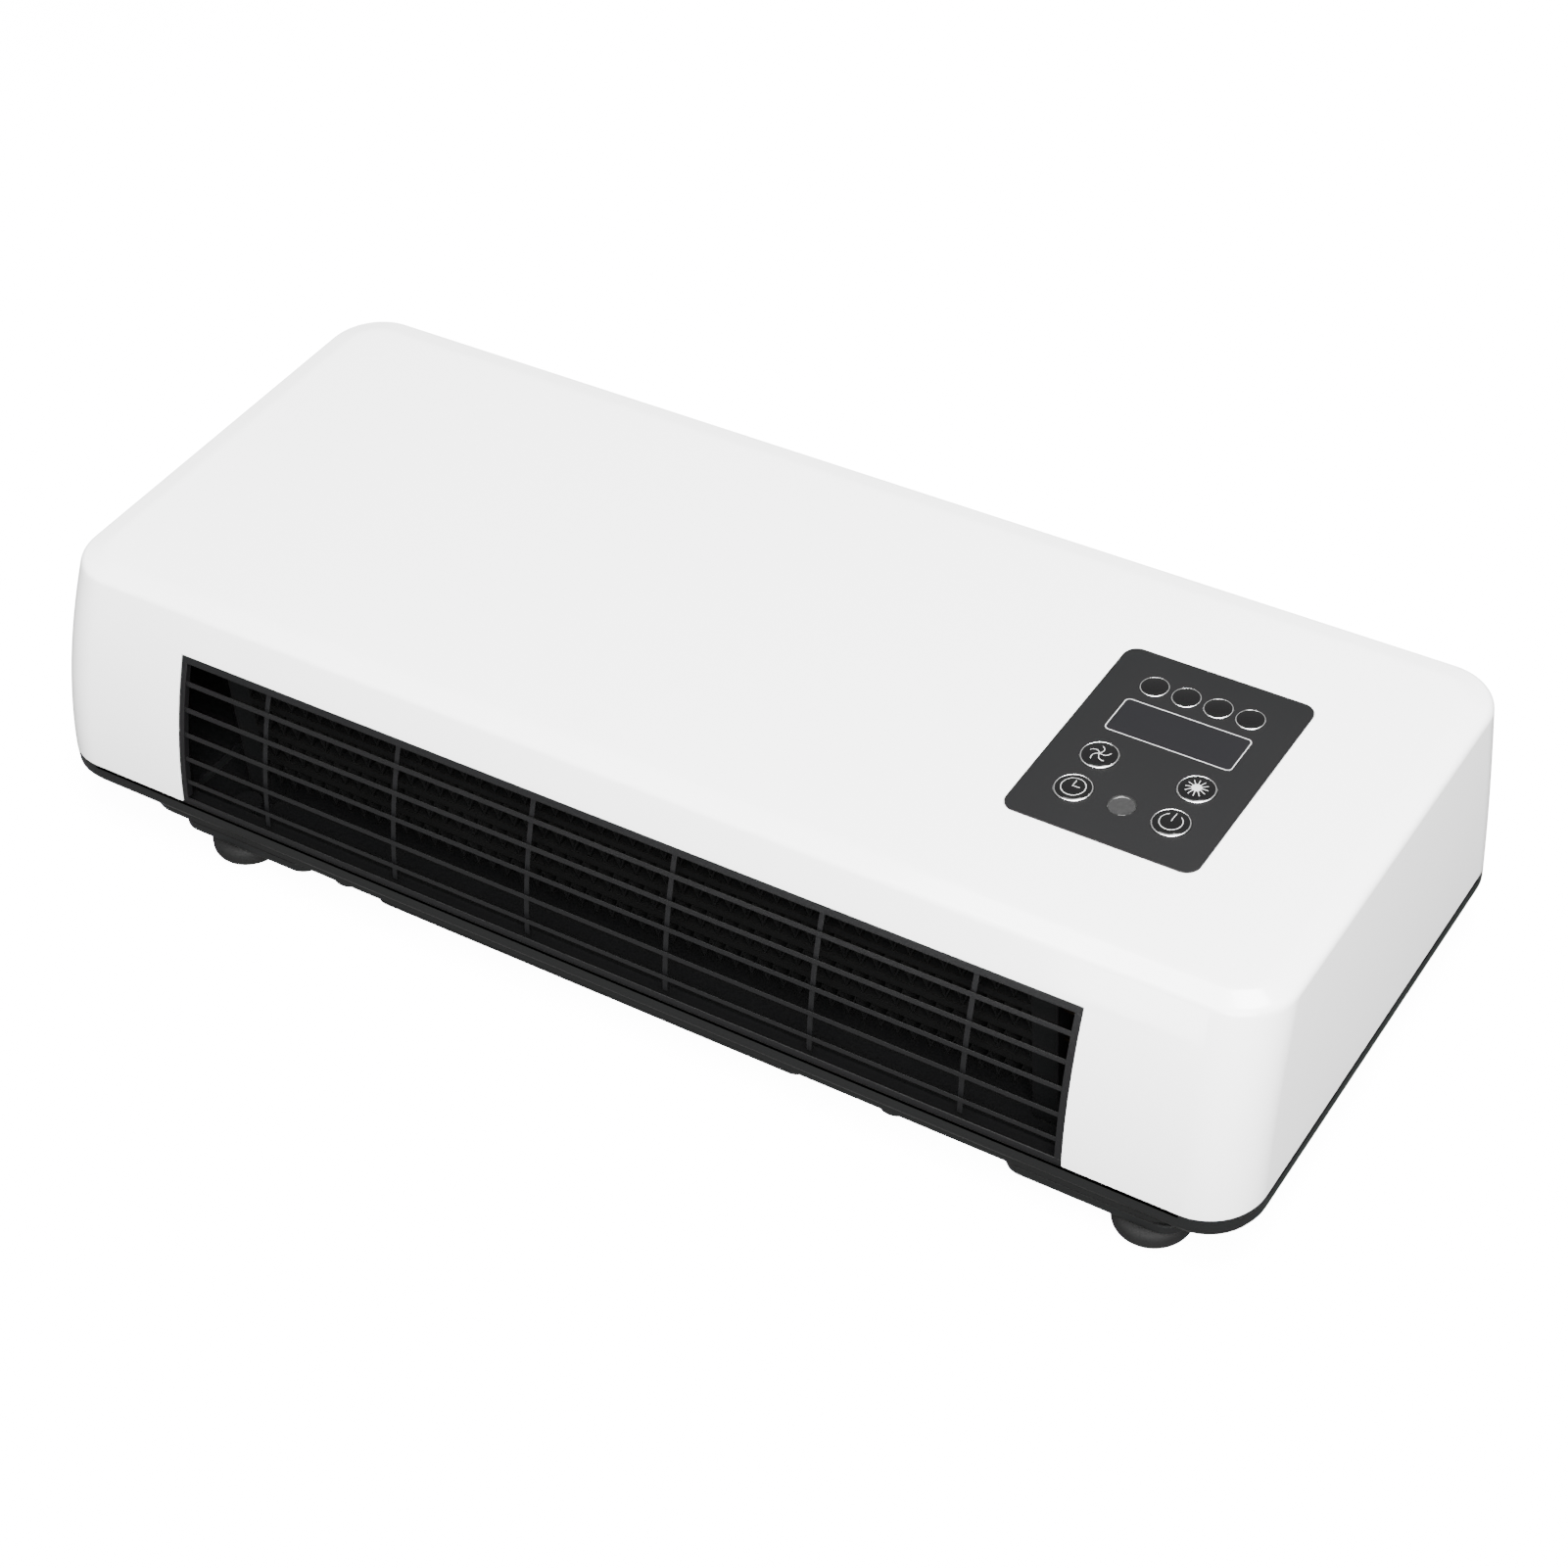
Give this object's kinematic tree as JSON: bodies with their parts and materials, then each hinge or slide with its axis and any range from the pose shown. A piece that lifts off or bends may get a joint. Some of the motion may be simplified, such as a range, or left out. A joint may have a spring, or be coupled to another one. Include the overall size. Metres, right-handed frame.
{
  "type": "wall-mounted fan heater",
  "caption": "Long white box-shaped wall fan heater with a black slatted outlet along one long side, a dark touch panel with round keys, and feet on its back.",
  "frame": {"origin": "on the ground plane under the feet, at the middle of the body's length and width", "axes": "+Z out of the front face (towards the room when hung on a wall), +X along the length towards the end with the control panel, -Y towards the air outlet (down when hung)"},
  "size_m": [0.46, 0.1946, 0.0951],
  "materials": {
    "cover": "gloss white",
    "base": "satin charcoal",
    "grille": "satin black",
    "rubber": "matt",
    "overlay": "fine satin film",
    "key": "gloss dome",
    "lens": "gloss smoked",
    "board": "solder mask",
    "black_plastic": "moulded",
    "steel": "zinc plated",
    "aluminium": "mill",
    "copper": "enamelled winding",
    "brass": "plain",
    "ceramic": "unglazed",
    "blue_plastic": "moulded",
    "green_plastic": "moulded",
    "wound_core": "taped winding"
  },
  "bodies": {
    "housing": {"front_cover": "cover", "base_tray": "base", "outlet_grille": "grille", "rubber_feet": "rubber", "foot_screws": "steel", "control_overlay": "overlay", "display_window": "lens", "indicator_lenses": "lens", "infrared_window": "lens", "tact_switches": "black_plastic", "control_board": "board", "display_module": "black_plastic", "indicator_lamps": "lens", "infrared_receiver": "black_plastic", "control_board_screws": "steel", "motor_stator": "steel", "motor_windings": "copper", "motor_front_bell": "steel", "motor_rear_bell": "steel", "fan_bush": "brass", "bush_holder": "rubber", "air_duct": "black_plastic", "duct_tongue": "black_plastic", "heating_elements": "aluminium", "heating_fins": "aluminium", "heater_end_blocks": "black_plastic", "heater_terminals": "brass", "thermostat": "ceramic", "thermal_fuse": "ceramic", "power_board": "board", "power_board_screws": "steel", "relays": "blue_plastic", "capacitor": "black_plastic", "transformer": "wound_core", "terminal_block": "green_plastic", "cable_gland": "rubber", "cover_screws": "steel"},
    "fan_rotor": {"fan_wheel": "black_plastic", "fan_shaft": "steel", "motor_rotor": "steel"},
    "fan_button": {"fan_key": "key"},
    "timer_button": {"timer_key": "key"},
    "heat_button": {"heat_key": "key"},
    "power_button": {"power_key": "key"}
  },
  "joints": [
    {"name": "fan_spin", "type": "hinge", "parent": "housing", "child": "fan_rotor", "pos_m": [0, -0.008, 0.046], "axis": [1, 0, 0], "continuous": true},
    {"name": "fan_key_press", "type": "slide", "parent": "housing", "child": "fan_button", "axis": [0, 0, -1], "range_m": [0, 0.0008], "stiffness_N_per_m": 300},
    {"name": "timer_key_press", "type": "slide", "parent": "housing", "child": "timer_button", "axis": [0, 0, -1], "range_m": [0, 0.0008], "stiffness_N_per_m": 300},
    {"name": "heat_key_press", "type": "slide", "parent": "housing", "child": "heat_button", "axis": [0, 0, -1], "range_m": [0, 0.0008], "stiffness_N_per_m": 300},
    {"name": "power_key_press", "type": "slide", "parent": "housing", "child": "power_button", "axis": [0, 0, -1], "range_m": [0, 0.0008], "stiffness_N_per_m": 300}
  ]
}
